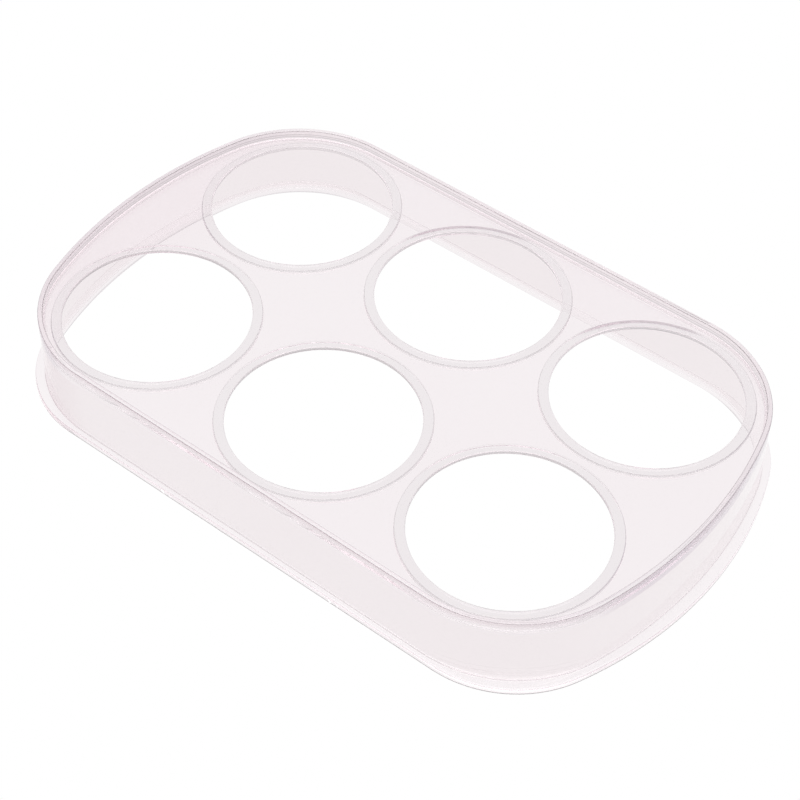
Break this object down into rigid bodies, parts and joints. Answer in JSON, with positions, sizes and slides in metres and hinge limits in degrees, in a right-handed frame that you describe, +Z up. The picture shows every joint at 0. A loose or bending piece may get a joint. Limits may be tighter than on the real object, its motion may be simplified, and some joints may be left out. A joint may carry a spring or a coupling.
{
  "type": "egg holder",
  "caption": "Low open-bottomed tray of clear plastic that stands eggs upright in round raised rings, for a refrigerator shelf or worktop.",
  "frame": {"origin": "middle of the underside, on the surface that the tray stands on", "axes": "+X along the tray's length, +Y towards its back, +Z up"},
  "size_m": [0.1644, 0.1032, 0.0192],
  "materials": {
    "clear_pink_plastic": "transparent, faintly pink moulded plastic, polished on every face"
  },
  "bodies": {
    "root": {"top_deck": "clear_pink_plastic", "skirt_wall": "clear_pink_plastic", "raised_rim": "clear_pink_plastic", "foot_flange": "clear_pink_plastic", "egg_ring_back_left": "clear_pink_plastic", "egg_ring_back_middle": "clear_pink_plastic", "egg_ring_back_right": "clear_pink_plastic", "egg_ring_front_left": "clear_pink_plastic", "egg_ring_front_middle": "clear_pink_plastic", "egg_ring_front_right": "clear_pink_plastic"}
  },
  "joints": []
}
